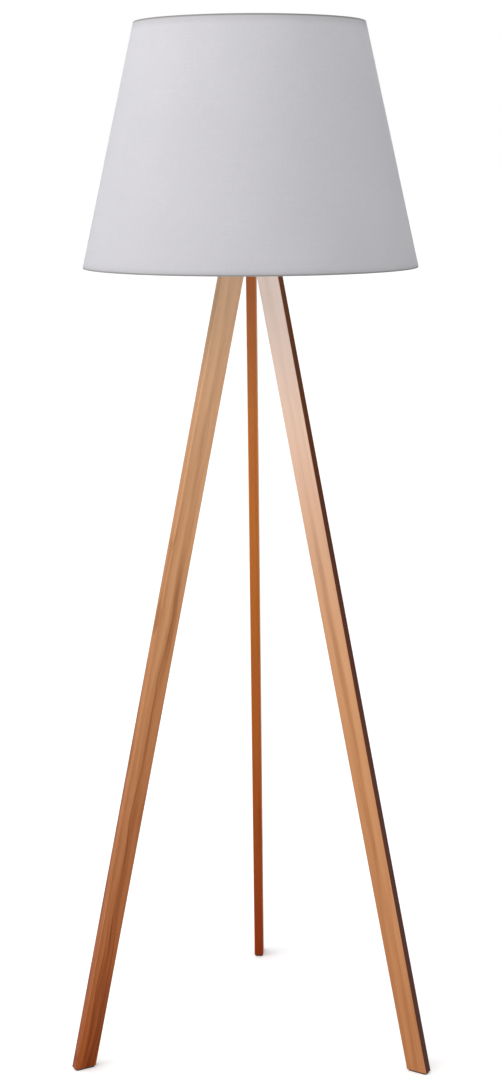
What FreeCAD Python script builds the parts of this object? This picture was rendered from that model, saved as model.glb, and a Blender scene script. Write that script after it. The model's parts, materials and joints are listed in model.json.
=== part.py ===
import FreeCAD, Part
import math
import os

# Tripod floor lamp. Millimetres, +Z up, origin on the floor plane at the middle of the lamp's
# overall box. The lamp's upright axis stands at x 0, y AXIS_Y; everything below is drawn about
# x 0, y 0 and moved there as it is written.
# Three straight timber legs hang from steel clevises under a round timber hub. A lampholder on a
# threaded tube stands on the hub, and a tapered drum shade is clamped on it by a screwed ring.

V = FreeCAD.Vector
OUT = "parts"
os.makedirs(OUT, exist_ok=True)

# ---- driving dimensions -------------------------------------------------------------------
AXIS_Y = -28.7
LEG_AZIMUTHS = {"left": 210.0, "right": -30.0, "rear": 90.0}
SHADE_Z0, SHADE_Z1 = 1092.0, 1411.0
SHADE_RB, SHADE_RT = 225.0, 152.5
SPLAY = 12.4                 # leg lean from upright, degrees
PIVOT_R = 25.4               # pivot bolt, distance from the lamp's axis
PIVOT_Z = SHADE_Z0 + 10.0    # pivot bolt height
LEG_W_TOP = 33.0             # leg width in the radial plane, at the pivot
LEG_W_FOOT = 30.0            # and at the floor
LEG_T = 14.0                 # leg thickness
LEG_EDGE = 1.8               # rounding of the long edges
PAD_T = 2.5                  # nylon foot glide
BOLT_R = 3.0                 # M6 pivot bolt
BUSH_R = 4.5                 # leg bush, outside
BUSH_BORE = 3.06
HUB_Z0, HUB_Z1, HUB_R = SHADE_Z0 + 30.0, SHADE_Z0 + 50.0, 52.0
HZ = HUB_Z1 + 2.0             # underside of the lampholder
BRACKET_T = 2.5
EAR_IN, EAR_OUT = 8.2, 10.7  # clevis ear faces, from the leg's middle plane
STOP_GAP = 0.3
FABRIC_T, LINER_T = 0.9, 1.0  # measured level
WIRE_R = 1.75
FITTER_Z = HZ + 24.8
TUBE_R, TUBE_BORE = 5.0, 3.6
E27_R = 13.05


def pol(r, az, z=0.0):
    a = math.radians(az)
    return V(r * math.cos(a), r * math.sin(a), z)


def revolve(points, closed=True):
    """A solid turned about Z from (r, z) points."""
    pts = [V(r, 0, z) for r, z in points]
    face = Part.Face(Part.makePolygon(pts + [pts[0]]))
    return face.revolve(V(0, 0, 0), V(0, 0, 1), 360)


def cyl(r, h, pos, d=V(0, 0, 1)):
    return Part.makeCylinder(r, h, pos, d)


def tube(r1, r0, z0, z1):
    return revolve([(r0, z0), (r1, z0), (r1, z1), (r0, z1)])


def turn(shape, az):
    s = shape.copy()
    s.rotate(V(0, 0, 0), V(0, 0, 1), az)
    return s


def solids(shape):
    return shape.Solids if hasattr(shape, "Solids") else [shape]


def save(name, *shapes):
    """Writes one node. Several separate solids go out as one compound."""
    found = [s for shape in shapes for s in solids(shape)]
    assert found, name
    for s in found:
        assert s.isValid() and s.Volume > 0, (name, s.isValid(), s.Volume)
    whole = found[0].copy() if len(found) == 1 else Part.makeCompound(found)
    whole.translate(V(0, AXIS_Y, 0))
    whole.exportStep(os.path.join(OUT, name + ".step"))
    print(name, len(found), round(sum(s.Volume for s in found), 1))


def hexagon(af, h, pos):
    r = af / math.sqrt(3)
    pts = [V(r * math.cos(math.radians(60 * i)), r * math.sin(math.radians(60 * i)), 0) for i in range(7)]
    s = Part.Face(Part.makePolygon(pts)).extrude(V(0, 0, h))
    s.translate(pos)
    return s


def rounded_bar(w, d, h, r):
    """Upright bar with rounded corners, centred on the origin in X and Y, from z 0."""
    b = Part.makeBox(w, d, h, V(-w / 2, -d / 2, 0))
    return b.makeFillet(r, [e for e in b.Edges if abs(e.Vertexes[0].Z - e.Vertexes[1].Z) > h * 0.9])


# ---- legs ---------------------------------------------------------------------------------
SA, CA = math.sin(math.radians(SPLAY)), math.cos(math.radians(SPLAY))
LEG_LEN = PIVOT_Z / CA
STOP_Z = HUB_Z0 - BRACKET_T                 # underside of the clevis plate, which the leg's top butts
TOP_Z = STOP_Z - STOP_GAP
TOP_R = TOP_Z - PIVOT_Z                     # rounding of the leg's inner top corner, about the pivot


def along(a, b):
    """A point of the leg's middle plane: a down the leg from the pivot, b square to it, outward."""
    return V(PIVOT_R + a * SA + b * CA, 0, PIVOT_Z - a * CA + b * SA)


def make_leg():
    a0, a1 = -30.0, LEG_LEN + 20.0
    slope = (LEG_W_FOOT - LEG_W_TOP) / LEG_LEN / 2
    h0, h1 = LEG_W_TOP / 2 + slope * a0, LEG_W_TOP / 2 + slope * a1
    pts = [along(a0, -h0), along(a0, h0), along(a1, h1), along(a1, -h1)]
    face = Part.Face(Part.makePolygon(pts + [pts[0]]))
    face.translate(V(0, -LEG_T / 2, 0))
    bar = face.extrude(V(0, LEG_T, 0))
    bar = bar.makeFillet(LEG_EDGE, [e for e in bar.Edges if e.Length > 500])
    keep = Part.makeBox(700, 60, PIVOT_Z - PAD_T, V(-50, -30, PAD_T))
    keep = keep.fuse(cyl(TOP_R, 60, V(PIVOT_R, -30, PIVOT_Z), V(0, 1, 0)))
    keep = keep.fuse(Part.makeBox(60, 60, TOP_Z - PIVOT_Z + 5, V(PIVOT_R, -30, PIVOT_Z - 5)))
    leg = bar.common(keep)
    leg = leg.cut(cyl(BUSH_R, 60, V(PIVOT_R, -30, PIVOT_Z), V(0, 1, 0)))
    return leg.removeSplitter().Solids[0]


leg = make_leg()
foot_r = PIVOT_R + (PIVOT_Z - PAD_T) * math.tan(math.radians(SPLAY))
bush = cyl(BUSH_R, LEG_T, V(PIVOT_R, -LEG_T / 2, PIVOT_Z), V(0, 1, 0)).cut(
    cyl(BUSH_BORE, 60, V(PIVOT_R, -30, PIVOT_Z), V(0, 1, 0))
)
pad = rounded_bar(LEG_W_FOOT / CA - 3.0, LEG_T - 2.4, PAD_T, 3.0)
pad.translate(V(foot_r, 0, 0))
tack = cyl(0.8, 9.0, V(0, 0, 0)).fuse(cyl(2.6, 0.7, V(0, 0, 0)))   # pin that holds the pad, head recessed in it
tack.translate(V(foot_r, 0, 0.8))
pad = pad.cut(cyl(2.6, 0.7 + 0.8, V(foot_r, 0, 0))).cut(cyl(0.8, 9, V(foot_r, 0, 0)))
leg = leg.cut(cyl(0.8, 9.0, V(foot_r, 0, 0.8)))
for side, az in LEG_AZIMUTHS.items():
    save("leg_" + side, turn(leg, az))
    save("leg_bush_" + side, turn(bush, az))
    save("foot_pad_" + side, turn(pad, az))
    save("foot_pin_" + side, turn(tack, az))

# ---- hub, clevises and their fastenings ---------------------------------------------------
E = 3.0
hub = revolve(
    [
        (5.2, HUB_Z1), (5.2, HUB_Z0 + 8), (11.5, HUB_Z0 + 8), (11.5, HUB_Z0), (HUB_R - E, HUB_Z0),
        (HUB_R - 0.9, HUB_Z0 + 0.9), (HUB_R, HUB_Z0 + E), (HUB_R, HUB_Z1 - E),
        (HUB_R - 0.9, HUB_Z1 - 0.9), (HUB_R - E, HUB_Z1),
    ]
)
SCREWS = [(24.0, 17.3), (24.0, -17.3)]       # wood screws of one clevis: radial, sideways
SCREW_L = 14.0
for az in LEG_AZIMUTHS.values():
    for x, y in SCREWS:
        hub = hub.cut(turn(cyl(1.5, SCREW_L - 2.0, V(x, y, HUB_Z0)), az))
hub = hub.removeSplitter().Solids[0]
save("hub_disc", hub)


def make_bracket():
    plate = Part.makeBox(24.0, 45.0, BRACKET_T, V(15.5, -22.5, STOP_Z))
    plate = plate.makeFillet(3.5, [e for e in plate.Edges if abs(e.Vertexes[0].Z - e.Vertexes[1].Z) > 2])
    for y0 in (EAR_IN, -EAR_OUT):
        t = EAR_OUT - EAR_IN
        ear = Part.makeBox(18.0, t, STOP_Z - PIVOT_Z + 0.5, V(PIVOT_R - 9, y0, PIVOT_Z))
        ear = ear.fuse(cyl(9.0, t, V(PIVOT_R, y0, PIVOT_Z), V(0, 1, 0)))
        plate = plate.fuse(ear)
    plate = plate.cut(cyl(BOLT_R + 0.05, 60, V(PIVOT_R, -30, PIVOT_Z), V(0, 1, 0)))
    for x, y in SCREWS:
        plate = plate.cut(cyl(1.8, 10, V(x, y, STOP_Z - 1)))
        plate = plate.cut(Part.makeCone(3.5, 1.8, 1.7, V(x, y, STOP_Z)))
    return plate.removeSplitter().Solids[0]


bracket = make_bracket()
for side, az in LEG_AZIMUTHS.items():
    save("clevis_" + side, turn(bracket, az))


def wood_screw(x, y):
    head = Part.makeCone(3.4, 1.5, 1.7, V(x, y, STOP_Z))
    slot = Part.makeBox(8, 0.8, 0.8, V(x - 4, y - 0.4, STOP_Z - 0.1)).fuse(Part.makeBox(0.8, 8, 0.8, V(x - 0.4, y - 4, STOP_Z - 0.1)))
    shank = cyl(1.5, SCREW_L - BRACKET_T - 1.0 + 2.0, V(x, y, STOP_Z + 1.0))
    return head.fuse(shank).cut(slot).removeSplitter()


save("clevis_screws", *[turn(wood_screw(x, y), az) for az in LEG_AZIMUTHS.values() for x, y in SCREWS])


def hex_y(af, h, y):
    k = hexagon(af, h, V(0, 0, 0))
    k.rotate(V(0, 0, 0), V(1, 0, 0), -90)
    k.translate(V(0, y, 0))
    return k


def bolt():
    """Button-head bolt through both ears, along Y, head on the +Y side."""
    y1 = EAR_OUT
    s = cyl(BOLT_R, 2 * EAR_OUT + 6.2, V(0, -EAR_OUT - 6.2, 0), V(0, 1, 0))
    head = revolve([(0, y1), (5.6, y1), (5.6, y1 + 0.8), (5.0, y1 + 2.0), (3.9, y1 + 2.9), (2.2, y1 + 3.5), (0, y1 + 3.6)])
    head.rotate(V(0, 0, 0), V(1, 0, 0), -90)
    head = head.cut(hex_y(4.0, 2.2, y1 + 1.6))
    s = s.fuse(head)
    s.translate(V(PIVOT_R, 0, PIVOT_Z))
    return s.removeSplitter().Solids[0]


def dome_nut():
    k = hexagon(10.0, 4.0, V(0, 0, 0))
    k = k.common(revolve([(0, 0), (5.2, 0), (5.77, 0.6), (5.77, 3.2), (5.0, 4.0), (0, 4.0)]))
    dome = Part.makeSphere(4.3, V(0, 0, 3.6)).common(cyl(5, 10, V(0, 0, 3.6)))
    k = k.fuse(dome).cut(cyl(BOLT_R, 6.2, V(0, 0, 0)))
    k.rotate(V(0, 0, 0), V(1, 0, 0), 90)
    k.translate(V(PIVOT_R, -EAR_OUT, PIVOT_Z))
    return k.removeSplitter().Solids[0]


def washers():
    out = []
    for y0 in (LEG_T / 2 + 0.1, -EAR_IN):
        out.append(cyl(6.5, 1.1, V(PIVOT_R, y0, PIVOT_Z), V(0, 1, 0)).cut(cyl(BOLT_R + 0.06, 60, V(PIVOT_R, -30, PIVOT_Z), V(0, 1, 0))))
    return out


save("pivot_bolts", *[turn(bolt(), az) for az in LEG_AZIMUTHS.values()])
save("pivot_nuts", *[turn(dome_nut(), az) for az in LEG_AZIMUTHS.values()])
save("pivot_washers", *[turn(w, az) for az in LEG_AZIMUTHS.values() for w in washers()])

# ---- threaded tube and what is on it ------------------------------------------------------
TUBE_Z0, TUBE_Z1 = HUB_Z0 - 1.5, HUB_Z1 + 9.0
save("threaded_tube", tube(TUBE_R, TUBE_BORE, TUBE_Z0, TUBE_Z1))
save("tube_washer", tube(10.0, TUBE_R + 0.1, HUB_Z0 + 7.0, HUB_Z0 + 8.0))
nut = hexagon(14.0, 4.0, V(0, 0, HUB_Z0 + 3.0)).common(
    revolve([(0, HUB_Z0 + 3), (7.2, HUB_Z0 + 3), (8.1, HUB_Z0 + 3.6), (8.1, HUB_Z0 + 6.4), (7.2, HUB_Z0 + 7), (0, HUB_Z0 + 7)])
).cut(cyl(TUBE_R, 30, V(0, 0, HUB_Z0 - 10)))
save("tube_nut", nut.removeSplitter())
# cord outlet: flanged bush in the tube's lower end
save(
    "cord_bush",
    revolve(
        [
            (2.6, HUB_Z0 - 6.0), (3.4, HUB_Z0 - 6.8), (6.0, HUB_Z0 - 6.8), (6.8, HUB_Z0 - 6.0), (6.8, HUB_Z0 - 3.4), (6.2, TUBE_Z0), (TUBE_BORE, TUBE_Z0),
            (TUBE_BORE, TUBE_Z0 + 7), (2.6, TUBE_Z0 + 7),
        ]
    ),
)
save("holder_washer", tube(11.0, TUBE_R + 0.1, HUB_Z1, HUB_Z1 + 2.0))

# ---- lampholder ---------------------------------------------------------------------------
CAP_Z1 = HZ + 22.0
SW_Z = HZ + 12.5             # switch spindle height
cap = revolve(
    [
        (TUBE_R + 0.02, HZ), (11.0, HZ), (15.0, HZ + 1.0), (18.2, HZ + 3.6), (19.5, HZ + 7.0), (19.5, CAP_Z1), (17.4, CAP_Z1),
        (17.4, HZ + 8.0), (16.0, HZ + 5.2), (13.4, HZ + 3.2), (8.6, HZ + 2.6), (8.6, HZ + 6.8), (TUBE_R + 0.02, HZ + 6.8),
    ]
)
cap = cap.cut(cyl(2.56, 30, V(8, 0, SW_Z), V(1, 0, 0)))
save("holder_cap", cap.removeSplitter())

core = revolve(
    [
        (0, HZ + 18.5), (15.8, HZ + 18.5), (15.8, HZ + 25.6), (16.3, HZ + 25.6), (16.3, HZ + 27.5), (13.3, HZ + 27.5), (12.2, HZ + 26.4),
        (12.2, HZ + 23.4), (0, HZ + 23.4),
    ]
)
TERM = [(0.0, 9.6), (0.0, -9.6)]
for x, y in TERM:
    core = core.cut(cyl(1.6, 20, V(x, y, HZ + 10.0)))
core = core.cut(cyl(1.2, 20, V(0, 0, HZ + 10.0)))
save("holder_core", core.removeSplitter())

# outer skirt: a shoulder that carries the shade's fitter, and ring ridges for the shade ring
prof = [(16.6, HZ + 22.0), (22.5, HZ + 22.0), (22.5, HZ + 24.5), (19.2, HZ + 24.5), (19.2, HZ + 26.6)]
z = HZ + 26.6
while z < HZ + 49.0:
    prof += [(19.9, z + 0.6), (19.9, z + 1.2), (19.2, z + 1.8), (19.2, z + 2.4)]
    z += 2.4
prof += [(19.2, HZ + 52.4), (18.4, HZ + 54.0), (15.6, HZ + 54.0), (15.6, HZ + 52.6), (16.6, HZ + 51.8), (16.6, HZ + 28.0), (16.6, HZ + 22.0)]
save("holder_skirt", revolve(prof[:-1]))
save("screw_shell", tube(13.95, 13.45, HZ + 27.5, HZ + 50.5).fuse(tube(15.9, 13.45, HZ + 27.5, HZ + 28.0)).removeSplitter())
# middle contact: a bent tongue, riveted through the core
tongue = Part.makeBox(11.0, 5.0, 0.4, V(-8.0, -2.5, HZ + 23.4)).fuse(cyl(1.2, 6.9, V(0, 0, HZ + 16.5)))
tongue = tongue.fuse(cyl(2.4, 0.8, V(0, 0, HZ + 16.5)).fuse(Part.makeCone(2.4, 1.6, 0.9, V(0, 0, HZ + 23.8))))
save("centre_contact", tongue.removeSplitter())
save(
    "terminal_screws",
    *[
        cyl(1.6, 4.9, V(x, y, HZ + 18.5)).fuse(cyl(2.9, 1.6, V(x, y, HZ + 16.9))).cut(Part.makeBox(7, 0.8, 0.9, V(x - 3.5, y - 0.4, HZ + 16.8))).removeSplitter()
        for x, y in TERM
    ],
)

# ---- switch: spindle, cam and turn knob, along +X -----------------------------------------
save("switch_spindle", cyl(2.5, 24.0, V(9.4, 0, SW_Z), V(1, 0, 0)))
cam = cyl(4.6, 3.0, V(12.2, 0, SW_Z), V(1, 0, 0)).cut(Part.makeBox(4, 10, 2, V(12, -5, SW_Z + 3.4))).cut(Part.makeBox(4, 10, 2, V(12, -5, SW_Z - 5.4)))
save("switch_cam", cam.cut(cyl(2.5, 30, V(9, 0, SW_Z), V(1, 0, 0))).removeSplitter())
knob = revolve([(2.5, 0), (4.6, 0), (5.4, 0.8), (5.4, 6.5), (4.0, 8.5), (4.0, 15.0), (3.2, 16.2), (0, 16.2), (0, 9.9), (2.5, 9.9)])
for i in range(12):
    knob = knob.cut(cyl(0.7, 6.6, pol(5.75, 30 * i, 0)))
knob = knob.cut(Part.makeBox(20, 6, 9, V(-10, 1.9, 8.6))).cut(Part.makeBox(20, 6, 9, V(-10, -7.9, 8.6)))
knob.rotate(V(0, 0, 0), V(0, 1, 0), 90)
knob.translate(V(23.5, 0, SW_Z))
save("switch_knob", knob.removeSplitter())

# ---- shade --------------------------------------------------------------------------------


def shade_r(z):
    return SHADE_RB + (SHADE_RT - SHADE_RB) * (z - SHADE_Z0) / (SHADE_Z1 - SHADE_Z0)


def skin(d0, d1, z0, z1):
    return revolve([(shade_r(z0) - d1, z0), (shade_r(z0) - d0, z0), (shade_r(z1) - d0, z1), (shade_r(z1) - d1, z1)])


save("shade_fabric", skin(0.0, FABRIC_T, SHADE_Z0, SHADE_Z1))
save("shade_liner", skin(FABRIC_T, FABRIC_T + LINER_T, SHADE_Z0 + 0.3, SHADE_Z1 - 0.3))
WB_Z, WT_Z = SHADE_Z0 + 3.6, SHADE_Z1 - 3.6
WB_R, WT_R = (shade_r(z) - FABRIC_T - LINER_T - 2.65 for z in (WB_Z, WT_Z))
wire_b = Part.makeTorus(WB_R, WIRE_R, V(0, 0, WB_Z), V(0, 0, 1))
wire_t = Part.makeTorus(WT_R, WIRE_R, V(0, 0, WT_Z), V(0, 0, 1))
save("shade_bottom_wire", wire_b)
save("shade_top_wire", wire_t)


def hem(rc, zc, up):
    """Turned-in edge: wraps the wire from the shade's wall round to the inside."""
    s = 1 if up else -1
    r0, r1 = WIRE_R + 0.05, WIRE_R + 0.75

    def p(r, deg):
        a = math.radians(deg)
        return V(rc + r * math.cos(a), 0, zc + s * r * math.sin(a))

    outer = Part.Arc(p(r1, -20), p(r1, -120), p(r1, -220)).toShape()
    inner = Part.Arc(p(r0, -220), p(r0, -120), p(r0, -20)).toShape()
    w = Part.Wire([outer, Part.LineSegment(p(r1, -220), p(r0, -220)).toShape(), inner, Part.LineSegment(p(r0, -20), p(r1, -20)).toShape()])
    return Part.Face(w).revolve(V(0, 0, 0), V(0, 0, 1), 360)


bottom_hem, top_hem = hem(WB_R, WB_Z, True), hem(WT_R, WT_Z, False)

# fitter: flat ring on the lampholder's shoulder with three bent arms out to the bottom wire
ring = tube(29.0, 20.7, FITTER_Z, FITTER_Z + 2.0)
ARM_R = 1.9
arm_z = FITTER_Z - 0.7         # welded to the ring from below


def arm():
    p0, p1, p2 = V(25.0, 0, arm_z), V(82.0, 0, arm_z), V(WB_R, 0, WB_Z)
    d1, d2 = (p1 - p0).normalize(), (p2 - p1).normalize()
    half = math.acos(d1.dot(d2)) / 2
    bend = 30.0
    t = bend * math.tan(half)
    a, b = p1 - d1 * t, p1 + d2 * t
    n = (d2 - d1).normalize()
    mid = p1 + n * (bend / math.cos(half) - bend)
    path = Part.Wire([Part.LineSegment(p0, a).toShape(), Part.Arc(a, mid, b).toShape(), Part.LineSegment(b, p2).toShape()])
    prof = Part.Wire([Part.Circle(p0, V(1, 0, 0), ARM_R).toShape()])
    s = path.makePipeShell([prof], True, True)
    return s if s.ShapeType == "Solid" else Part.Solid(s)


ARM_AZ = (30.0, 150.0, 270.0)
fitter = ring
for az in ARM_AZ:
    fitter = fitter.fuse(turn(arm(), az))
fitter = fitter.cut(cyl(20.7, 10, V(0, 0, FITTER_Z - 5))).cut(wire_b)
fitter = max(fitter.removeSplitter().Solids, key=lambda s: s.Volume)
save("shade_fitter", fitter)
for az in ARM_AZ:                            # the hem is slit to let each arm through
    bottom_hem = bottom_hem.cut(turn(Part.makeBox(20.0, 7.0, 20.0, V(WB_R - 10.0, -3.5, WB_Z - 10.0)), az))
save("shade_bottom_hem", bottom_hem)
save("shade_top_hem", top_hem)

# shade ring: screwed down on the fitter
sr = revolve([(20.1, HZ + 27.1), (27.0, HZ + 27.1), (27.6, HZ + 27.7), (27.6, HZ + 31.0), (24.4, HZ + 32.4), (23.6, HZ + 38.0), (23.0, HZ + 38.6), (20.1, HZ + 38.6)])
for i in range(24):
    sr = sr.cut(cyl(1.1, 6.5, pol(28.1, 15 * i, HZ + 26.5)))
save("shade_ring", sr.removeSplitter())

# ---- bulb ---------------------------------------------------------------------------------
BZ = HZ + 24.9                  # lowest point of the bulb's tip
save("bulb_tip", revolve([(0, BZ), (3.2, BZ + 0.2), (4.7, BZ + 1.0), (4.7, BZ + 1.5), (0, BZ + 1.5)]))
save("bulb_insulator", revolve([(0, BZ + 1.5), (5.2, BZ + 1.5), (10.2, BZ + 3.8), (10.2, BZ + 4.2), (0, BZ + 4.2)]))
capz = BZ + 4.3
prof = [(0.0, capz), (10.6, capz), (11.9, capz + 1.0)]
for i in range(5):
    z = capz + 1.6 + 3.629 * i
    prof += [(12.25, z), (12.8, z + 0.75), (E27_R, z + 1.5), (12.8, z + 2.25), (12.25, z + 3.0)]
prof += [(12.4, capz + 20.4), (12.6, capz + 24.5), (0.0, capz + 24.5)]
screw_cap = revolve(prof)
inner = cyl(11.3, 30, V(0, 0, capz + 1.2))
screw_cap = screw_cap.cut(inner)
save("bulb_screw_cap", screw_cap.removeSplitter())
HB = capz + 24.5             # where the plastic body starts, just clear of the lampholder's rim
body = revolve(
    [
        (10.6, HB - 6.0), (11.3, HB - 6.0), (11.3, HB), (13.4, HB), (14.2, HB + 1.6), (15.6, HB + 6.0), (20.5, HB + 16.0), (26.2, HB + 26.0),
        (29.0, HB + 32.0), (29.8, HB + 36.0), (28.4, HB + 36.0), (27.4, HB + 32.0), (24.6, HB + 26.4), (19.0, HB + 16.6), (14.0, HB + 6.6), (10.6, HB + 1.0),
    ]
)
save("bulb_body", body)
GZ = HB + 36.0
save("bulb_led_board", revolve([(0, GZ - 3.4), (26.6, GZ - 3.4), (26.9, GZ - 2.0), (0, GZ - 2.0)]))
# globe: a thin dome, 30 mm radius, standing on the body's rim
RG = 30.0
gc = GZ + 6.0
outer = [(RG * math.cos(math.radians(a)), gc + RG * math.sin(math.radians(a))) for a in range(-11, 91, 5)]
outer = [(29.8, GZ)] + [p for p in outer if p[1] > GZ + 0.4]
outer[-1] = (0.0, gc + RG)
RI = RG - 1.2
inner_pts = [(RI * math.cos(math.radians(a)), gc + RI * math.sin(math.radians(a))) for a in range(-11, 91, 5)]
inner_pts = [(28.5, GZ)] + [p for p in inner_pts if p[1] > GZ + 0.4]
inner_pts[-1] = (0.0, gc + RI)
save("bulb_globe", revolve(outer + inner_pts[::-1]))
print("foot_r", round(foot_r, 3), "leg top radius", round(TOP_R, 3), "bulb top", round(gc + RG, 2))
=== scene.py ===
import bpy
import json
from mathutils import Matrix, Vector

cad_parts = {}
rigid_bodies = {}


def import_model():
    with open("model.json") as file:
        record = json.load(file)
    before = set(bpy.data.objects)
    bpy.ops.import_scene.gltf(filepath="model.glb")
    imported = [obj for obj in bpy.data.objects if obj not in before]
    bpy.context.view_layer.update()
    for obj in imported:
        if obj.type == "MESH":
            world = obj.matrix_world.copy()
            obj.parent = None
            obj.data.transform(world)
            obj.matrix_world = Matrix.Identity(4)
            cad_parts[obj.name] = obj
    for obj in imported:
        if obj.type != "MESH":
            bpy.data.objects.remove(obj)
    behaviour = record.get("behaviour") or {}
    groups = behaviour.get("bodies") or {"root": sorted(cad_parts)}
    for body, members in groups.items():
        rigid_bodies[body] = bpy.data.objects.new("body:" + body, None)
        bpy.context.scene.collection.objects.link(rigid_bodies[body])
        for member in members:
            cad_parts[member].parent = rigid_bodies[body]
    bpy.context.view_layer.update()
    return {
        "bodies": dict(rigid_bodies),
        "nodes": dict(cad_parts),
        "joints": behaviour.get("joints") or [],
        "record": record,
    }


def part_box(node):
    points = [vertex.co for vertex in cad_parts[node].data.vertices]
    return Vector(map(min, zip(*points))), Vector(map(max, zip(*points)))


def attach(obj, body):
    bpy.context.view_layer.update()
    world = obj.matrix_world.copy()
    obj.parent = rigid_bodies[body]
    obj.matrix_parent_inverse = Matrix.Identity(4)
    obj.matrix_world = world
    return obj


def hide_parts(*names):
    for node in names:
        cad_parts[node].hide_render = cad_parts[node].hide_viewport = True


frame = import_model()

import json
import math

import bpy
from mathutils import Matrix, Vector, noise

nodes, bodies = frame["nodes"], frame["bodies"]
scene = bpy.context.scene

# The lamp's axis and the leg pivots come from the frame's own joints.
joints = {j["name"]: j for j in frame["joints"]}
AX = Vector(joints["shade_turn"]["pos_m"])
AY = AX.y
LEGS = {"left": 210.0, "right": -30.0, "rear": 90.0}
PIV = joints["leg_rear_fold"]["pos_m"]
PIVOT_R, PIVOT_Z = PIV[1] - AY, PIV[2]
SPLAY = math.radians(12.4)
f_lo, f_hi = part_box("shade_fabric")
SZ0, SZ1 = f_lo.z, f_hi.z
SRB = 0.225
SRT = 0.1525

# ---------------------------------------------------------------- node helpers


class Mat:
    """A small builder for procedural materials."""

    def __init__(self, name):
        self.m = bpy.data.materials.new(name)
        self.m.use_nodes = True
        self.t = self.m.node_tree
        self.t.nodes.clear()
        self.out = self.t.nodes.new("ShaderNodeOutputMaterial")
        self.bsdf = self.t.nodes.new("ShaderNodeBsdfPrincipled")
        self.t.links.new(self.bsdf.outputs[0], self.out.inputs[0])

    def n(self, kind, **props):
        node = self.t.nodes.new(kind)
        for k, v in props.items():
            setattr(node, k, v)
        return node

    def link(self, a, b):
        self.t.links.new(a, b)

    def put(self, socket, value):
        if hasattr(value, "is_output"):
            self.t.links.new(value, socket)
        else:
            socket.default_value = value

    def set(self, **values):
        for k, v in values.items():
            self.bsdf.inputs[k.replace("_", " ")].default_value = v

    def coords(self):
        return self.n("ShaderNodeTexCoord").outputs["Object"]

    def uv(self):
        return self.n("ShaderNodeUVMap", uv_map="UVMap").outputs["UV"]

    def mapping(self, v, loc=(0, 0, 0), rot=(0, 0, 0), scale=(1, 1, 1)):
        n = self.n("ShaderNodeMapping")
        self.link(v, n.inputs["Vector"])
        n.inputs["Location"].default_value = loc
        n.inputs["Rotation"].default_value = rot
        n.inputs["Scale"].default_value = scale
        return n.outputs[0]

    def noise(self, v, scale=1.0, detail=3.0, rough=0.5, distortion=0.0):
        n = self.n("ShaderNodeTexNoise")
        self.link(v, n.inputs["Vector"])
        n.inputs["Scale"].default_value = scale
        n.inputs["Detail"].default_value = detail
        n.inputs["Roughness"].default_value = rough
        n.inputs["Distortion"].default_value = distortion
        return n.outputs["Fac"]

    def ramp(self, fac, stops, interpolation="LINEAR"):
        n = self.n("ShaderNodeValToRGB")
        self.link(fac, n.inputs["Fac"])
        n.color_ramp.interpolation = interpolation
        e = n.color_ramp.elements
        while len(e) < len(stops):
            e.new(0.5)
        for el, (p, c) in zip(e, stops):
            el.position = p
            el.color = (*c, 1) if len(c) == 3 else c
        return n.outputs["Color"]

    def math(self, op, a, b=0.0, c=None, clamp=False):
        n = self.n("ShaderNodeMath", operation=op, use_clamp=clamp)
        self.put(n.inputs[0], a)
        self.put(n.inputs[1], b)
        if c is not None:
            self.put(n.inputs[2], c)
        return n.outputs[0]

    def remap(self, v, a, b, c, d, smooth=False):
        n = self.n("ShaderNodeMapRange")
        if smooth:
            n.interpolation_type = "SMOOTHSTEP"
        self.put(n.inputs["Value"], v)
        for k, x in zip(("From Min", "From Max", "To Min", "To Max"), (a, b, c, d)):
            n.inputs[k].default_value = x
        return n.outputs[0]

    def mix(self, fac, a, b, blend="MIX"):
        n = self.n("ShaderNodeMix", data_type="RGBA", blend_type=blend)
        self.put(n.inputs[0], fac)
        for s, v in ((n.inputs[6], a), (n.inputs[7], b)):
            if hasattr(v, "is_output"):
                self.t.links.new(v, s)
            else:
                s.default_value = (*v, 1) if len(v) == 3 else v
        return n.outputs[2]

    def xyz(self, v):
        n = self.n("ShaderNodeSeparateXYZ")
        self.link(v, n.inputs[0])
        return n.outputs

    def bump(self, height, strength, distance):
        n = self.n("ShaderNodeBump")
        self.link(height, n.inputs["Height"])
        n.inputs["Strength"].default_value = strength
        n.inputs["Distance"].default_value = distance
        self.link(n.outputs[0], self.bsdf.inputs["Normal"])
        return n.outputs[0]

    def color(self, c):
        self.put(self.bsdf.inputs["Base Color"], c)

    def rough(self, r):
        self.put(self.bsdf.inputs["Roughness"], r)


def srgb(r, g, b):
    def lin(c):
        c /= 255
        return c / 12.92 if c <= 0.04045 else ((c + 0.055) / 1.055) ** 2.4

    return (lin(r), lin(g), lin(b))


# ---------------------------------------------------------------- timber


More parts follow.
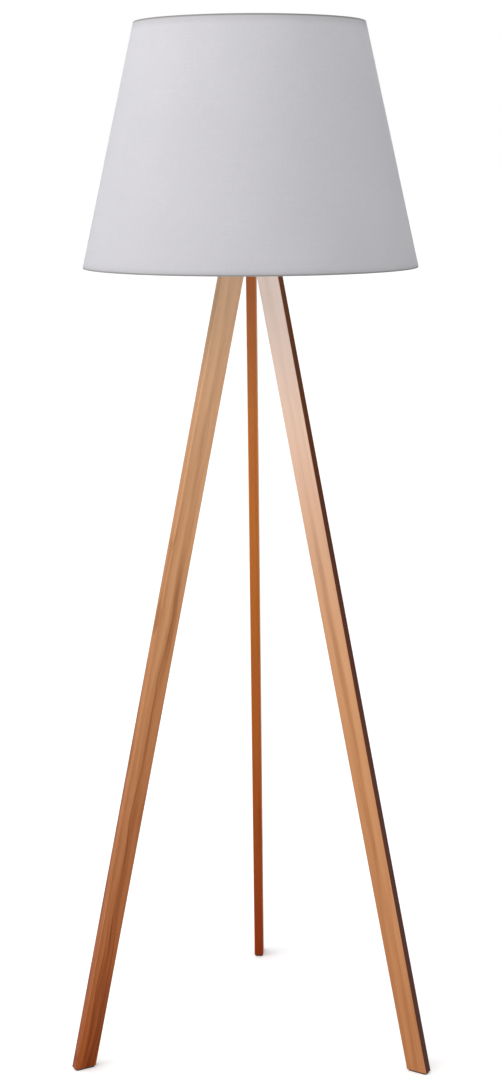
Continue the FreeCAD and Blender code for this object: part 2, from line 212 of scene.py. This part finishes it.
def timber(name, az, seed, light, mid, dark, foot_shade_tint, foot_shade_amount, outer_shade_amount, top_light_tint, top_light_amount, figure):
    """Lacquered timber with its grain along one leg. az is the leg's bearing in degrees."""
    m = Mat(name)
    a = math.radians(az)
    # to the leg's own frame: x outward, y sideways, z up the leg, pivot at the origin
    rot = Matrix.Rotation(-a, 4, "Z")
    t = rot @ Vector((-PIVOT_R * math.cos(a), -(AY + PIVOT_R * math.sin(a)), -PIVOT_Z))
    v = m.mapping(m.coords(), loc=t, rot=(0, 0, -a))
    v = m.mapping(v, rot=(0, SPLAY, 0))
    x, y, z = m.xyz(v)[0], m.xyz(v)[1], m.xyz(v)[2]
    # the figure leans and swings slowly as it runs down the leg
    swing = m.math("SUBTRACT", m.noise(m.mapping(v, loc=(seed, 8, 0), scale=(6, 6, 3.4)), 1.0, 2.0), 0.5)
    swing = m.math("ADD", m.math("MULTIPLY", swing, 0.020), m.math("MULTIPLY", z, 0.012))
    ripple = m.math("SUBTRACT", m.noise(m.mapping(v, loc=(2, seed, 4), scale=(9, 9, 9.5)), 1.0, 1.5), 0.5)
    swing = m.math("ADD", swing, m.math("MULTIPLY", ripple, 0.016 * figure))
    warp = m.n("ShaderNodeCombineXYZ")
    m.link(m.math("ADD", x, swing), warp.inputs[0])
    m.link(y, warp.inputs[1])
    m.link(z, warp.inputs[2])
    v = warp.outputs[0]
    # slow wander of the grain along the leg
    wander = m.noise(m.mapping(v, loc=(seed, seed * 0.7, 0), scale=(5, 5, 1.3)), 1.0, 2.0)
    wander2 = m.noise(m.mapping(v, loc=(seed + 9, 3, 0), scale=(14, 14, 4.5)), 1.0, 3.0)
    # growth rings cut lengthwise: distance from a far pith line
    dx = m.math("ADD", x, 0.022 + 0.006 * math.sin(seed))
    dx = m.math("ADD", dx, m.math("MULTIPLY", m.math("SUBTRACT", wander, 0.5), 0.050))
    dx = m.math("ADD", dx, m.math("MULTIPLY", m.math("SUBTRACT", wander2, 0.5), 0.009))
    dy = m.math("ADD", y, 0.030)
    ring = m.math("SQRT", m.math("ADD", m.math("MULTIPLY", dx, dx), m.math("MULTIPLY", dy, dy)))
    rings = m.math("FRACT", m.math("MULTIPLY", ring, 105.0))
    band = m.remap(rings, 0.0, 0.82, 0.0, 1.0)
    late = m.remap(rings, 0.82, 1.0, 1.0, 0.0)
    band = m.math("MULTIPLY", m.math("POWER", band, 1.6), late)
    # streaks, fibres and pores
    streak = m.noise(m.mapping(v, loc=(seed, 1, 2), scale=(95, 95, 1.5)), 1.0, 4.0, 0.6)
    broad = m.noise(m.mapping(v, loc=(2, seed, 5), scale=(38, 22, 0.9)), 1.0, 2.0)
    fibre = m.noise(m.mapping(v, loc=(seed, 4, 1), scale=(900, 900, 14)), 1.0, 3.0, 0.65)
    pore_n = m.noise(m.mapping(v, loc=(7, seed, 0), scale=(1500, 1500, 42)), 1.0, 2.0, 0.5)
    pores = m.remap(pore_n, 0.64, 0.74, 0.0, 1.0)
    # one soft dark band that wanders down the middle of the face
    sway = m.math("MULTIPLY", m.math("SUBTRACT", m.noise(m.mapping(v, loc=(0, 0, seed), scale=(0.2, 0.2, 3.2)), 1.0, 2.0), 0.5), 0.030)
    off = m.math("ABSOLUTE", m.math("ADD", m.math("SUBTRACT", x, sway), 0.001))
    heart = m.remap(off, 0.0, 0.0065, 1.0, 0.0, True)
    heart = m.math("MULTIPLY", heart, m.remap(m.noise(m.mapping(v, loc=(seed, 0, 3), scale=(3, 3, 5)), 1.0, 2.0), 0.35, 0.65, 0.1, 1.0))
    tone = m.math("MULTIPLY", m.math("SUBTRACT", streak, 0.5), 0.34)
    tone = m.math("ADD", tone, m.math("MULTIPLY", m.math("SUBTRACT", broad, 0.5), 0.75))
    tone = m.math("ADD", tone, m.math("MULTIPLY", heart, 0.26))
    tone = m.math("ADD", tone, m.math("MULTIPLY", m.math("SUBTRACT", fibre, 0.5), 0.16))
    tone = m.math("ADD", tone, m.math("MULTIPLY", band, 0.13))
    # darker drawn-out flames, stronger towards the foot
    flame_n = m.noise(m.mapping(v, loc=(seed * 1.3, 6, 2), scale=(150, 60, 2.6)), 1.0, 2.5, 0.55, 0.25)
    flame = m.remap(flame_n, 0.50, 0.68, 0.0, 1.0, True)
    flame = m.math("MULTIPLY", flame, m.remap(z, -0.15, -1.05, 0.16, 0.50))
    tone = m.math("ADD", tone, m.math("MULTIPLY", flame, figure))
    tone = m.math("ADD", tone, 0.33, clamp=True)
    col = m.ramp(tone, [(0.10, light), (0.45, mid), (0.95, dark)])
    col = m.mix(m.math("MULTIPLY", pores, 0.35), col, tuple(c * 0.45 for c in mid))
    # painted shade: the leg is darker and redder towards the foot, where less light reaches it
    painted_foot_shade = m.remap(z, -0.22, -1.13, 0.0, 1.0)
    painted_foot_shade = m.math("ADD", painted_foot_shade, m.math("MULTIPLY", m.math("SUBTRACT", broad, 0.5), 0.35))
    painted_foot_shade = m.math("MULTIPLY", painted_foot_shade, foot_shade_amount, clamp=True)
    col = m.mix(painted_foot_shade, col, foot_shade_tint, "MULTIPLY")
    # painted light: the top of the leg, just under the shade, is tinted as it is lit there, paler with glare on
    # the left and right legs and a darker purplish cast on the rear leg, with the grain kept showing through
    high = m.math("POWER", m.remap(z, -0.72, -0.02, 0.0, 1.0), 2.6)
    high = m.math("MULTIPLY", high, top_light_amount, clamp=True)
    col = m.mix(high, col, top_light_tint)
    col = m.mix(high, col, m.ramp(tone, [(0.12, (1.03, 1.03, 1.03)), (0.50, (0.93, 0.90, 0.87)), (0.95, (0.74, 0.66, 0.58))]), "MULTIPLY")
    # painted shade: the outer narrow face, turned away from the light, is darkened, most on the right leg; the
    # inner narrow faces are darkened too
    geo = m.n("ShaderNodeTexCoord").outputs["Normal"]
    nv = m.n("ShaderNodeVectorRotate", rotation_type="Z_AXIS")
    m.link(geo, nv.inputs["Vector"])
    nv.inputs["Angle"].default_value = -a
    side = m.xyz(nv.outputs[0])[0]
    nx = m.math("ABSOLUTE", side)
    outer = m.remap(side, 0.72, 0.92, 0.0, 1.0, True)
    inner = m.remap(side, -0.72, -0.92, 0.0, 1.0, True)
    col = m.mix(m.math("MULTIPLY", outer, outer_shade_amount), col, (0.15, 0.052, 0.014), "MULTIPLY")
    col = m.mix(m.math("MULTIPLY", inner, 0.8), col, (0.78, 0.60, 0.44), "MULTIPLY")
    # arrises rubbed a little paler
    worn = m.remap(nx, 0.28, 0.55, 0.0, 1.0)
    worn = m.math("MULTIPLY", worn, m.remap(nx, 0.60, 0.85, 1.0, 0.0))
    rub = m.noise(m.mapping(v, scale=(40, 40, 6)), 1.0, 3.0)
    worn = m.math("MULTIPLY", worn, m.remap(rub, 0.42, 0.68, 0.0, 0.5))
    col = m.mix(worn, col, light)
    m.color(col)
    r = m.math("ADD", 0.36, m.math("MULTIPLY", m.math("SUBTRACT", streak, 0.5), 0.22))
    m.rough(m.math("ADD", r, m.math("MULTIPLY", pores, 0.12)))
    h = m.math("SUBTRACT", m.math("MULTIPLY", fibre, 0.35), m.math("MULTIPLY", pores, 0.8))
    h = m.math("ADD", h, m.math("MULTIPLY", band, -0.25))
    m.bump(h, 0.25, 0.0002)
    m.set(Coat_Weight=0.02, Coat_Roughness=0.35, Specular_IOR_Level=0.07)
    return m.m


def hub_timber():
    """Turned disc, end grain hidden: grain runs across it along X."""
    m = Mat("timber_hub")
    v = m.mapping(m.coords(), loc=(0, -AY, 0))
    streak = m.noise(m.mapping(v, scale=(4, 110, 110)), 1.0, 4.0, 0.6)
    broad = m.noise(m.mapping(v, scale=(6, 40, 40)), 1.0, 2.0)
    fibre = m.noise(m.mapping(v, scale=(30, 1100, 1100)), 1.0, 3.0)
    tone = m.math("ADD", m.math("MULTIPLY", streak, 0.6), m.math("MULTIPLY", broad, 0.5))
    col = m.ramp(tone, [(0.25, srgb(208, 158, 112)), (0.55, srgb(178, 122, 78)), (0.85, srgb(128, 78, 44))])
    m.color(col)
    m.rough(m.remap(streak, 0.3, 0.7, 0.34, 0.5))
    m.bump(fibre, 0.2, 0.0002)
    m.set(Coat_Weight=0.2, Coat_Roughness=0.25)
    return m.m


# ---------------------------------------------------------------- metals and plastics


def metal(name, base, rough, brushed=0.0, scale=900.0):
    m = Mat(name)
    v = m.coords()
    fine = m.noise(m.mapping(v, scale=(scale, scale, scale * (0.04 if brushed else 1))), 1.0, 4.0, 0.6)
    patch = m.noise(v, 45.0, 4.0, 0.6)
    m.color(m.ramp(patch, [(0.3, tuple(c * 0.86 for c in base)), (0.7, base)]))
    m.rough(m.math("ADD", rough - 0.08, m.math("MULTIPLY", fine, 0.22)))
    m.bump(fine, 0.18, 0.00006)
    m.set(Metallic=1.0)
    return m.m


def powder(name, base, rough=0.5, grain=1400.0):
    """Powder coat: fine orange peel."""
    m = Mat(name)
    v = m.coords()
    peel = m.noise(v, grain, 2.0, 0.5)
    patch = m.noise(v, 60.0, 4.0, 0.6)
    m.color(m.ramp(patch, [(0.3, tuple(c * 0.9 for c in base)), (0.7, base)]))
    m.rough(m.remap(patch, 0.3, 0.7, rough - 0.06, rough + 0.08))
    m.bump(peel, 0.3, 0.00012)
    return m.m


def moulded(name, base, rough=0.42, grain=2200.0, tint=0.93, coat=0.0):
    """Moulded plastic: faint spark-eroded texture, slight uneven tone."""
    m = Mat(name)
    v = m.coords()
    fine = m.noise(v, grain, 3.0, 0.6)
    flow = m.noise(m.mapping(v, scale=(1, 1, 0.35)), 38.0, 3.0, 0.55)
    m.color(m.ramp(flow, [(0.3, tuple(c * tint for c in base)), (0.7, base)]))
    m.rough(m.math("ADD", rough - 0.05, m.math("MULTIPLY", fine, 0.12)))
    m.bump(fine, 0.15, 0.00005)
    m.set(Coat_Weight=coat, Coat_Roughness=0.1, Specular_IOR_Level=0.45)
    return m.m


def shade_liner_material():
    """The white styrene laminate behind the cloth; light comes through it."""
    m = Mat("shade_laminate_look")
    v = m.coords()
    cloud = m.noise(v, 24.0, 4.0, 0.6)
    fine = m.noise(v, 900.0, 3.0, 0.5)
    col = m.ramp(cloud, [(0.3, (0.80, 0.80, 0.79)), (0.7, (0.86, 0.86, 0.855))])
    m.color(col)
    m.rough(m.remap(cloud, 0.3, 0.7, 0.5, 0.62))
    m.bump(fine, 0.15, 0.00008)
    tr = m.n("ShaderNodeBsdfTranslucent")
    m.link(col, tr.inputs["Color"])
    mixer = m.n("ShaderNodeMixShader")
    mixer.inputs[0].default_value = 0.42
    m.link(m.bsdf.outputs[0], mixer.inputs[1])
    m.link(tr.outputs[0], mixer.inputs[2])
    m.link(mixer.outputs[0], m.out.inputs[0])
    return m.m


def cloth_material():
    """Plain-woven poly-cotton on the shade. The UV map is in metres: u round, v up."""
    m = Mat("shade_cloth_look")
    uv = m.uv()
    warp_n = m.noise(m.mapping(uv, scale=(60, 900, 1)), 1.0, 3.0, 0.6)
    weft_n = m.noise(m.mapping(uv, scale=(900, 60, 1), loc=(3, 5, 0)), 1.0, 3.0, 0.6)
    cells = m.xyz(uv)
    pitch = 0.00052
    tau = 2 * math.pi / pitch
    wob = m.math("MULTIPLY", m.math("SUBTRACT", m.noise(m.mapping(uv, scale=(28, 28, 1)), 1.0, 2.0), 0.5), 0.0006)
    su = m.math("SINE", m.math("MULTIPLY", m.math("ADD", cells[0], wob), tau / 2))
    sv = m.math("SINE", m.math("MULTIPLY", m.math("ADD", cells[1], wob), tau / 2))
    over = m.math("MULTIPLY", su, sv)
    height = m.math("ADD", m.math("MULTIPLY", over, 0.5), 0.5)
    slub = m.math("ADD", m.remap(warp_n, 0.60, 0.80, 0.0, 0.5), m.remap(weft_n, 0.60, 0.80, 0.0, 0.5))
    mottled = m.noise(m.mapping(uv, scale=(9, 7, 1)), 1.0, 4.0, 0.6)
    thread = m.math("ADD", m.math("MULTIPLY", warp_n, 0.5), m.math("MULTIPLY", weft_n, 0.5))
    base = m.ramp(mottled, [(0.30, (0.808, 0.794, 0.823)), (0.70, (0.840, 0.826, 0.850))])
    # painted shade: the cloth is darkened towards the lower edge
    base = m.mix(m.remap(cells[1], 0.0, 0.33, 0.16, 0.0), base, (0.55, 0.54, 0.56))
    base = m.mix(m.remap(thread, 0.38, 0.62, 0.0, 0.36), base, (0.665, 0.67, 0.695))
    # long uneven yarns, a few millimetres apart
    yarn_u = m.noise(m.mapping(uv, scale=(16, 360, 1), loc=(1, 2, 0)), 1.0, 2.0, 0.5)
    yarn_v = m.noise(m.mapping(uv, scale=(360, 16, 1), loc=(6, 4, 0)), 1.0, 2.0, 0.5)
    yarn = m.math("MAXIMUM", m.remap(yarn_u, 0.54, 0.70, 0.0, 1.0), m.remap(yarn_v, 0.56, 0.72, 0.0, 0.8))
    base = m.mix(m.math("MULTIPLY", yarn, 0.10), base, (0.90, 0.89, 0.91))
    # painted shade in the weave's hollows: darker where a thread dips under
    base = m.mix(m.math("MULTIPLY", m.math("SUBTRACT", 1.0, height), 0.22), base, (0.52, 0.52, 0.55))
    base = m.mix(m.math("MULTIPLY", slub, 0.35), base, (0.85, 0.85, 0.86))
    # the turned edges: cloth over wire is denser, so it lets less light through; its colour there is also painted
    # darker, as painted shade
    vv = cells[1]
    length = math.hypot(SZ1 - SZ0, SRB - SRT)
    low = m.remap(vv, 0.0015, 0.0085, 1.0, 0.0, True)
    high = m.remap(vv, length - 0.014, length - 0.001, 0.0, 1.0, True)
    dense_hem_and_shade = m.math("ADD", low, high, clamp=True)
    base = m.mix(m.math("MULTIPLY", dense_hem_and_shade, 0.30), base, (0.40, 0.38, 0.385))
    # painted shadow: a thin dark line along the very edge of each hem
    near_low = m.math("ABSOLUTE", m.math("SUBTRACT", vv, 0.0004))
    near_high = m.math("ABSOLUTE", m.math("SUBTRACT", vv, length - 0.0004))
    hem_shadow_line = m.remap(m.math("MINIMUM", near_low, near_high), 0.0008, 0.0030, 1.0, 0.0, True)
    base = m.mix(m.math("MULTIPLY", hem_shadow_line, 0.72), base, (0.22, 0.205, 0.20))
    m.color(base)
    m.rough(m.math("ADD", 0.78, m.math("MULTIPLY", thread, 0.15)))
    h = m.math("ADD", height, m.math("MULTIPLY", slub, 0.6))
    h = m.math("ADD", h, m.math("MULTIPLY", thread, 0.6))
    h = m.math("ADD", h, m.math("MULTIPLY", yarn, 0.5))
    m.bump(h, 0.34, 0.00010)
    m.set(Sheen_Weight=0.18, Sheen_Roughness=0.5, Specular_IOR_Level=0.25)
    tr = m.n("ShaderNodeBsdfTranslucent")
    m.link(base, tr.inputs["Color"])
    mixer = m.n("ShaderNodeMixShader")
    m.link(m.remap(dense_hem_and_shade, 0.0, 1.0, 0.42, 0.38), mixer.inputs[0])
    m.link(m.bsdf.outputs[0], mixer.inputs[1])
    m.link(tr.outputs[0], mixer.inputs[2])
    m.link(mixer.outputs[0], m.out.inputs[0])
    return m.m


def opal():
    m = Mat("bulb_opal_look")
    v = m.coords()
    cloud = m.noise(v, 70.0, 3.0, 0.5)
    m.color(m.ramp(cloud, [(0.3, (0.84, 0.84, 0.82)), (0.7, (0.90, 0.90, 0.885))]))
    m.rough(m.remap(cloud, 0.3, 0.7, 0.24, 0.34))
    m.bump(m.noise(v, 1500.0, 2.0), 0.05, 0.00004)
    m.set(Coat_Weight=0.15, Coat_Roughness=0.1)
    return m.m


def knurl_plastic():
    m = Mat("holder_plastic_look")
    v = m.coords()
    fine = m.noise(v, 2400.0, 3.0, 0.6)
    flow = m.noise(v, 55.0, 3.0, 0.55)
    m.color(m.ramp(flow, [(0.3, (0.74, 0.735, 0.72)), (0.7, (0.82, 0.815, 0.80))]))
    m.rough(m.math("ADD", 0.34, m.math("MULTIPLY", fine, 0.16)))
    m.bump(fine, 0.15, 0.00006)
    m.set(Coat_Weight=0.1, Coat_Roughness=0.15)
    return m.m


# ---------------------------------------------------------------- materials on the CAD nodes

looks = {
    "timber_left": timber(
        "timber_left", 210.0, 3.1, srgb(220, 168, 121), srgb(194, 137, 90), srgb(140, 85, 45),
        srgb(192, 134, 84), 1.0, 0.12, srgb(228, 194, 162), 0.72, 1.0,
    ),
    "timber_right": timber(
        "timber_right", -30.0, 11.7, srgb(217, 167, 124), srgb(196, 144, 101), srgb(159, 105, 64),
        srgb(206, 164, 122), 0.60, 1.0, srgb(255, 240, 232), 0.95, 0.30,
    ),
    "timber_rear": timber(
        "timber_rear", 90.0, 23.9, srgb(222, 154, 80), srgb(202, 132, 58), srgb(160, 94, 34),
        srgb(180, 112, 54), 1.0, 0.8, srgb(186, 122, 96), 0.6, 0.40,
    ),
    "hub": hub_timber(),
    "zinc": metal("zinc_steel_look", (0.60, 0.60, 0.61), 0.36, 1.0),
    "black": powder("black_steel_look", (0.030, 0.029, 0.028), 0.48),
    "white_wire": powder("white_wire_look", (0.74, 0.74, 0.73), 0.42, 1800.0),
    "laminate": shade_liner_material(),
    "holder": knurl_plastic(),
    "ceramic": moulded("ceramic_look", (0.80, 0.79, 0.75), 0.22, 600.0, 0.96, 0.4),
    "brass": metal("brass_contact_look", (0.72, 0.53, 0.25), 0.32, 0.0, 700.0),
    "nickel": metal("nickel_shell_look", (0.72, 0.71, 0.69), 0.28, 0.0, 600.0),
    "bulb_plastic": moulded("bulb_plastic_look", (0.84, 0.84, 0.84), 0.34, 1800.0, 0.96, 0.1),
    "opal": opal(),
    "nylon": moulded("nylon_look", (0.035, 0.034, 0.034), 0.5, 1600.0, 0.8),
    "glide": moulded("glide_nylon_look", (0.055, 0.030, 0.018), 0.46, 1500.0, 0.8),
    "board": moulded("led_board_look", (0.80, 0.80, 0.77), 0.4, 900.0, 0.95),
}
by_slot = {
    "hub_timber": "hub",
    "zinc_steel": "zinc",
    "black_steel": "black",
    "white_wire": "white_wire",
    "shade_laminate": "laminate",
    "shade_cloth": "laminate",
    "glide_nylon": "glide",
    "holder_plastic": "holder",
    "ceramic": "ceramic",
    "brass_contact": "brass",
    "nickel_shell": "nickel",
    "bulb_plastic": "bulb_plastic",
    "bulb_glass": "opal",
    "nylon": "nylon",
    "board": "board",
}
slot_of = {s["node"]: s["material_slot"] for s in frame["record"]["subparts"]}
for name, obj in nodes.items():
    key = slot_of[name]
    look = looks["timber_" + name[4:]] if key == "leg_timber" else looks[by_slot[key]]
    obj.data.materials.clear()
    obj.data.materials.append(look)

# ---------------------------------------------------------------- shade cloth

FAB = 0.0008          # cloth thickness
SLOPE = (SRB - SRT) / (SZ1 - SZ0)
LEAN = math.atan(SLOPE)
LENGTH = math.hypot(SZ1 - SZ0, SRB - SRT)


def wall_r(z):
    return SRB - SLOPE * (z - SZ0)


WIRE = 0.00175
WZB, WZT = SZ0 + 0.0036, SZ1 - 0.0036
WRB, WRT = wall_r(WZB) - 0.00455, wall_r(WZT) - 0.00455


def shade_profile():
    """(r, z, v) of the cloth's outer face, from its inner tail under the bottom wire, up the wall, and round the top wire."""
    pts = []

    def arc(rc, zc, rad, a0, a1, k):
        out = []
        for i in range(k + 1):
            a = math.radians(a0 + (a1 - a0) * i / k)
            out.append((rc + rad * math.cos(a), zc + rad * math.sin(a)))
        return out

    rad = WIRE + 0.00085
    inner = [(wall_r(SZ0 + 0.0125) - 0.00225, SZ0 + 0.0125), (wall_r(SZ0 + 0.009) - 0.00235, SZ0 + 0.009), (wall_r(SZ0 + 0.0068) - 0.0027, SZ0 + 0.0068)]
    inner += arc(WRB, WZB, rad, 62, 262, 11)
    inner += [(WRB + 0.0022, SZ0 + 0.00078), (wall_r(SZ0) - 0.0012, SZ0 + 0.00045)]
    low = [(wall_r(SZ0) - 0.00045, SZ0 + 0.00055), (wall_r(SZ0 + 0.0011) - 0.00005, SZ0 + 0.0012)]
    n = 40
    wall = []
    for i in range(1, n):
        z = SZ0 + 0.0012 + (SZ1 - SZ0 - 0.0024) * i / n
        wall.append((wall_r(z), z))
    high = [(wall_r(SZ1 - 0.0011) - 0.00005, SZ1 - 0.0012), (wall_r(SZ1) - 0.00045, SZ1 - 0.00055), (wall_r(SZ1) - 0.0012, SZ1 - 0.00042)]
    outer = [(WRT + 0.0020, SZ1 - 0.00075)] + arc(WRT, WZT, rad, 98, 298, 11)
    outer += [(wall_r(SZ1 - 0.0068) - 0.0027, SZ1 - 0.0068), (wall_r(SZ1 - 0.009) - 0.00235, SZ1 - 0.009), (wall_r(SZ1 - 0.0125) - 0.00225, SZ1 - 0.0125)]
    path = inner + low + wall + high + outer
    # v: metres along the cloth, 0 at the wall's lower edge
    s, vs = 0.0, []
    for i, p in enumerate(path):
        if i:
            s += math.hypot(p[0] - path[i - 1][0], p[1] - path[i - 1][1])
        vs.append(s)
    v0 = vs[len(inner) - 1]
    return [(p[0], p[1], v - v0) for p, v in zip(path, vs)]


def make_shade():
    prof = shade_profile()
    seg = 192
    seam = math.radians(90.0)         # overlap seam at the back
    verts, faces, uvs = [], [], []
    m_ = len(prof)
    for layer in range(2):
        for j in range(seg + 1):
            ang = seam + 2 * math.pi * j / seg
            for i, (r, z, v) in enumerate(prof):
                # the cloth is glued to the laminate: it only wanders by a tenth of a millimetre
                w = noise.noise(Vector((math.cos(ang) * 5, math.sin(ang) * 5, z * 14))) * 0.00012
                on_wall = 0.0 < v < LENGTH
                lift = 0.0
                if on_wall:
                    # the overlap: the last 9 mm lies on top of the first and steps down at its cut edge
                    back = min(j, seg - j) * 2 * math.pi * r / seg
                    side = j <= seg // 2
                    lift = -0.00003 - abs(w)
                    if side and back < 0.0095:
                        lift = 0.0
                rr = r + (lift if on_wall else 0.0) - (FAB if layer and on_wall else 0.0)
                zz = z
                if layer and not on_wall:
                    # inner face of the turned edge: towards the wire
                    rc, zc = (WRB, WZB) if v <= 0 else (WRT, WZT)
                    dx, dz = rc - r, zc - z
                    d = math.hypot(dx, dz)
                    k = min(FAB * 0.6, d * 0.3) / max(d, 1e-6)
                    rr, zz = r + dx * k, z + dz * k
                verts.append((rr * math.cos(ang), AY + rr * math.sin(ang), zz))
                uvs.append((2 * math.pi * SRB * j / seg * (0.84), v))
    stride = (seg + 1) * m_

    def vid(layer, j, i):
        return layer * stride + j * m_ + i

    for j in range(seg):
        for i in range(m_ - 1):
            faces.append((vid(0, j, i), vid(0, j + 1, i), vid(0, j + 1, i + 1), vid(0, j, i + 1)))
            faces.append((vid(1, j, i), vid(1, j, i + 1), vid(1, j + 1, i + 1), vid(1, j + 1, i)))
        for i in (0, m_ - 1):
            f = (vid(0, j, i), vid(1, j, i), vid(1, j + 1, i), vid(0, j + 1, i))
            faces.append(f if i == 0 else f[::-1])
    for j in (0, seg):
        for i in range(m_ - 1):
            f = (vid(0, j, i), vid(0, j, i + 1), vid(1, j, i + 1), vid(1, j, i))
            faces.append(f if j == 0 else f[::-1])
    mesh = bpy.data.meshes.new("shade_cloth")
    mesh.from_pydata(verts, [], faces)
    layer = mesh.uv_layers.new(name="UVMap")
    for loop in mesh.loops:
        layer.data[loop.index].uv = uvs[loop.vertex_index]
    mesh.polygons.foreach_set("use_smooth", [True] * len(mesh.polygons))
    mesh.validate()
    mesh.update()
    o = bpy.data.objects.new("shade_cloth", mesh)
    scene.collection.objects.link(o)
    return o


cloth = make_shade()
cloth.data.materials.append(cloth_material())
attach(cloth, "shade")
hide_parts("shade_fabric", "shade_bottom_hem", "shade_top_hem")

# ---------------------------------------------------------------- stage

def floor_material():
    m = Mat("floor_paper")
    v = m.coords()
    cloud = m.noise(v, 1.6, 3.0, 0.5)
    fine = m.noise(v, 420.0, 3.0, 0.6)
    m.color(m.ramp(cloud, [(0.3, (0.90, 0.90, 0.90)), (0.7, (0.93, 0.93, 0.93))]))
    m.rough(m.remap(fine, 0.3, 0.7, 0.75, 0.9))
    m.bump(fine, 0.1, 0.0002)
    m.set(Specular_IOR_Level=0.1, Emission_Color=(1, 1, 1, 1), Emission_Strength=0.25)
    return m.m


def make_floor():
    rings, seg = [0.0, 0.6, 1.5, 3.5, 8, 18, 40, 120, 600], 64
    verts, faces = [(0, 0, 0)], []
    for r in rings[1:]:
        for j in range(seg):
            a = 2 * math.pi * j / seg
            verts.append((r * math.cos(a), r * math.sin(a), 0))
    for j in range(seg):
        faces.append((0, 1 + j, 1 + (j + 1) % seg))
    for k in range(len(rings) - 2):
        b = 1 + k * seg
        for j in range(seg):
            faces.append((b + j, b + seg + j, b + seg + (j + 1) % seg, b + (j + 1) % seg))
    mesh = bpy.data.meshes.new("floor")
    mesh.from_pydata(verts, [], faces)
    mesh.update()
    o = bpy.data.objects.new("floor", mesh)
    scene.collection.objects.link(o)
    mesh.materials.append(floor_material())
    return o


make_floor()

world = bpy.data.worlds.new("studio")
scene.world = world
world.use_nodes = True
wt = world.node_tree
wt.nodes.clear()
w_out = wt.nodes.new("ShaderNodeOutputWorld")
lit = wt.nodes.new("ShaderNodeBackground")
lit.inputs["Color"].default_value = (0.96, 0.98, 1.0, 1)
lit.inputs["Strength"].default_value = 0.30
seen = wt.nodes.new("ShaderNodeBackground")
seen.inputs["Color"].default_value = (1, 1, 1, 1)
seen.inputs["Strength"].default_value = 1.0
ray = wt.nodes.new("ShaderNodeLightPath")
w_mix = wt.nodes.new("ShaderNodeMixShader")
wt.links.new(ray.outputs["Is Camera Ray"], w_mix.inputs[0])
wt.links.new(lit.outputs[0], w_mix.inputs[1])
wt.links.new(seen.outputs[0], w_mix.inputs[2])
wt.links.new(w_mix.outputs[0], w_out.inputs[0])


def sun(name, bearing, elevation, strength, spread, color=(1, 1, 1)):
    """bearing is where the light comes from, in degrees round the lamp from +X."""
    data = bpy.data.lights.new(name, "SUN")
    data.energy = strength
    data.angle = math.radians(spread)
    data.color = color
    o = bpy.data.objects.new(name, data)
    b, e = math.radians(bearing), math.radians(elevation)
    d = Vector((math.cos(b) * math.cos(e), math.sin(b) * math.cos(e), math.sin(e)))
    o.rotation_euler = d.to_track_quat("Z", "Y").to_euler()
    o.location = d * 4
    scene.collection.objects.link(o)


def soft_box(name, bearing, distance, height, size, watts, aim_z, color=(1, 1, 1)):
    data = bpy.data.lights.new(name, "AREA")
    data.shape = "DISK"
    data.size = size
    data.energy = watts
    data.color = color
    o = bpy.data.objects.new(name, data)
    b = math.radians(bearing)
    at = Vector((math.cos(b) * distance, math.sin(b) * distance, height))
    o.location = at
    o.rotation_euler = (at - Vector((0, 0, aim_z))).to_track_quat("Z", "Y").to_euler()
    scene.collection.objects.link(o)


soft_box("key_left", 214.0, 1.45, 2.15, 0.9, 8.5, 1.25, (1.0, 0.99, 0.985))
soft_box("rim_right", -22.0, 1.15, 2.05, 0.8, 2.4, 1.35, (1.0, 0.985, 0.97))
sun("side_left", 196.0, 30.0, 0.42, 40.0, (1.0, 0.99, 0.98))
sun("fill_front", 252.0, 30.0, 0.83, 45.0, (1.0, 0.985, 0.97))
sun("top", 150.0, 76.0, 1.45, 60.0, (0.985, 0.99, 1.0))

# ---------------------------------------------------------------- camera

cam_data = bpy.data.cameras.new("camera")
cam_data.sensor_width = 36.0
cam_data.sensor_fit = "AUTO"
cam_data.lens = 1922.276 / 1080 * 36.0
cam_data.clip_end = 1000
cam = bpy.data.objects.new("camera", cam_data)
scene.collection.objects.link(cam)
scene.camera = cam
yaw, pitch, roll = -0.0345, -0.19297, -0.00463
fwd = Vector((math.sin(yaw) * math.cos(pitch), math.cos(yaw) * math.cos(pitch), math.sin(pitch)))
right = Vector((math.cos(yaw), -math.sin(yaw), 0))
up = right.cross(fwd)
right2 = right * math.cos(roll) + up * math.sin(roll)
up2 = up * math.cos(roll) - right * math.sin(roll)
rot = Matrix((right2, up2, -fwd)).transposed().to_4x4()
cam.matrix_world = Matrix.Translation((0.0873, -2.5999 + AY, 1.2275)) @ rot

scene.view_settings.view_transform = "Standard"
scene.view_settings.look = "None"
